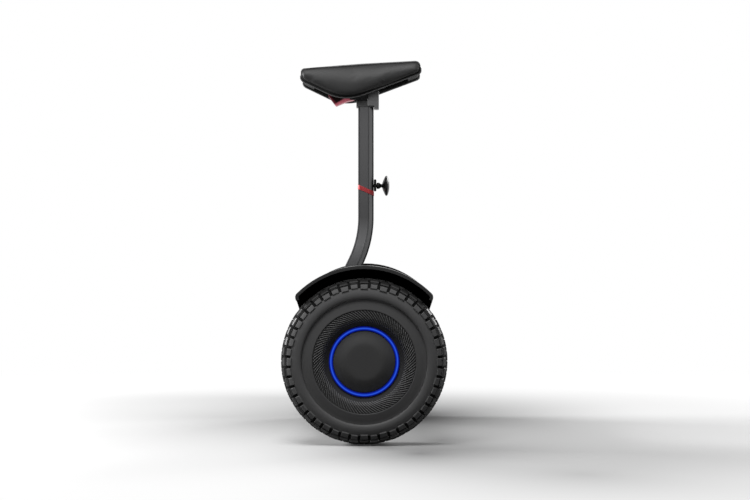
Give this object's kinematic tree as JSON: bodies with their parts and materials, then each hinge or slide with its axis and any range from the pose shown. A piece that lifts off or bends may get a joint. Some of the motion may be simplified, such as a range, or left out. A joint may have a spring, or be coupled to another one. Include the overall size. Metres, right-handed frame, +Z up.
{
  "type": "self-balancing scooter",
  "caption": "Upright self-balancing scooter with hub-motor wheels, a low deck and a knee-steered bar that carries a padded knee rest.",
  "frame": {"origin": "on the floor under the middle of the axle", "axes": "+Z up, +X to the rear so that the scooter faces -X, +Y to the rider's right along the axle"},
  "size_m": [0.2798, 0.548, 0.6638],
  "materials": {
    "cast_alloy": "cast and blasted light alloy",
    "housing_plastic": "fine-grained black moulding",
    "battery_case": "sleeved cell pack in a light alloy tray",
    "circuit_board": "coated circuit board",
    "clear_lens": "clear moulded lens",
    "red_lens": "red moulded lens",
    "dark_lens": "smoked display window",
    "steel": "ground steel",
    "soft_rubber": "matte black rubber",
    "fender_plastic": "black moulding with a soft gloss",
    "motor_winding": "laminated core with enamelled windings",
    "tyre_rubber": "knobbly pneumatic tyre, dusty black",
    "rim_paint": "satin black paint",
    "cover_plastic": "dark grey moulding, finely ribbed on the dished ring",
    "blue_light": "lit blue light guide",
    "valve_brass": "plain valve stem",
    "gloss_black": "polished black moulding",
    "bar_paint": "satin graphite paint",
    "red_plastic": "satin red moulding",
    "pad_cover": "black grained cover over soft foam"
  },
  "bodies": {
    "chassis": {"chassis_frame": "cast_alloy", "bottom_cover": "housing_plastic", "deck_cover": "housing_plastic", "battery_pack": "battery_case", "control_board": "circuit_board", "front_light": "clear_lens", "tail_light": "red_lens", "display_lens": "dark_lens", "charge_socket": "housing_plastic", "steering_housing": "cast_alloy", "steering_pin": "steel", "centring_bush": "soft_rubber", "steering_cover": "housing_plastic", "fender_left": "fender_plastic", "fender_right": "fender_plastic", "axle_left": "steel", "axle_right": "steel", "axle_clamp_left": "cast_alloy", "axle_clamp_right": "cast_alloy", "stator_left": "motor_winding", "stator_right": "motor_winding"},
    "left_wheel": {"tyre_left": "tyre_rubber", "rim_left": "rim_paint", "hub_cover_left": "cover_plastic", "light_ring_left": "blue_light", "hub_cap_left": "cover_plastic", "magnet_ring_left": "steel", "motor_cover_left": "rim_paint", "bearing_left": "steel", "valve_left": "valve_brass"},
    "right_wheel": {"tyre_right": "tyre_rubber", "rim_right": "rim_paint", "hub_cover_right": "cover_plastic", "light_ring_right": "blue_light", "hub_cap_right": "cover_plastic", "magnet_ring_right": "steel", "motor_cover_right": "rim_paint", "bearing_right": "steel", "valve_right": "valve_brass"},
    "left_mat": {"foot_mat_left": "soft_rubber"},
    "right_mat": {"foot_mat_right": "soft_rubber"},
    "button": {"power_button": "gloss_black"},
    "flap": {"charge_flap": "soft_rubber"},
    "steering": {"steering_hub": "cast_alloy", "lower_bar": "bar_paint", "inner_tube": "cast_alloy", "bar_ring": "red_plastic"},
    "sleeve": {"upper_sleeve": "bar_paint", "bar_top": "housing_plastic", "clamp_plate": "housing_plastic"},
    "knob": {"clamp_knob": "gloss_black"},
    "knee_rest": {"knee_shell": "housing_plastic", "knee_pad_left": "pad_cover", "knee_pad_right": "pad_cover", "rest_socket": "housing_plastic", "latch_block": "bar_paint", "lever_pin": "steel"},
    "lever": {"release_lever": "red_plastic"}
  },
  "joints": [
    {"name": "left_wheel_spin", "type": "hinge", "parent": "chassis", "child": "left_wheel", "pos_m": [0, -0.232, 0.1399], "axis": [0, 1, 0], "continuous": true},
    {"name": "right_wheel_spin", "type": "hinge", "parent": "chassis", "child": "right_wheel", "pos_m": [0, 0.232, 0.1399], "axis": [0, 1, 0], "continuous": true},
    {"name": "steering_lean", "type": "hinge", "parent": "chassis", "child": "steering", "pos_m": [-0.06988, 0, 0.196], "axis": [1, 0, 0], "range_deg": [-12, 12], "stiffness_Nm_per_rad": 30},
    {"name": "sleeve_height", "type": "slide", "parent": "steering", "child": "sleeve", "axis": [0, 0, 1], "range_m": [0, 0.1]},
    {"name": "knob_turn", "type": "hinge", "parent": "sleeve", "child": "knob", "pos_m": [0.0205, 0, 0.4425], "axis": [1, 0, 0], "range_deg": [0, 360]},
    {"name": "rest_lift", "type": "slide", "parent": "sleeve", "child": "knee_rest", "axis": [0, 0, 1], "range_m": [0, 0.045]},
    {"name": "lever_squeeze", "type": "hinge", "parent": "knee_rest", "child": "lever", "pos_m": [-0.0221, 0, 0.6025], "axis": [0, 1, 0], "range_deg": [0, 18], "stiffness_Nm_per_rad": 0.3},
    {"name": "left_mat_press", "type": "slide", "parent": "chassis", "child": "left_mat", "axis": [0, 0, -1], "range_m": [0, 0.0015], "stiffness_N_per_m": 8000, "springref_m": -0.0004},
    {"name": "right_mat_press", "type": "slide", "parent": "chassis", "child": "right_mat", "axis": [0, 0, -1], "range_m": [0, 0.0015], "stiffness_N_per_m": 8000, "springref_m": -0.0004},
    {"name": "power_press", "type": "slide", "parent": "chassis", "child": "button", "axis": [-1, 0, 0], "range_m": [0, 0.0015], "stiffness_N_per_m": 800},
    {"name": "flap_swing", "type": "hinge", "parent": "chassis", "child": "flap", "pos_m": [0.1086, 0.09, 0.1367], "axis": [0, -1, 0], "range_deg": [0, 110]}
  ]
}
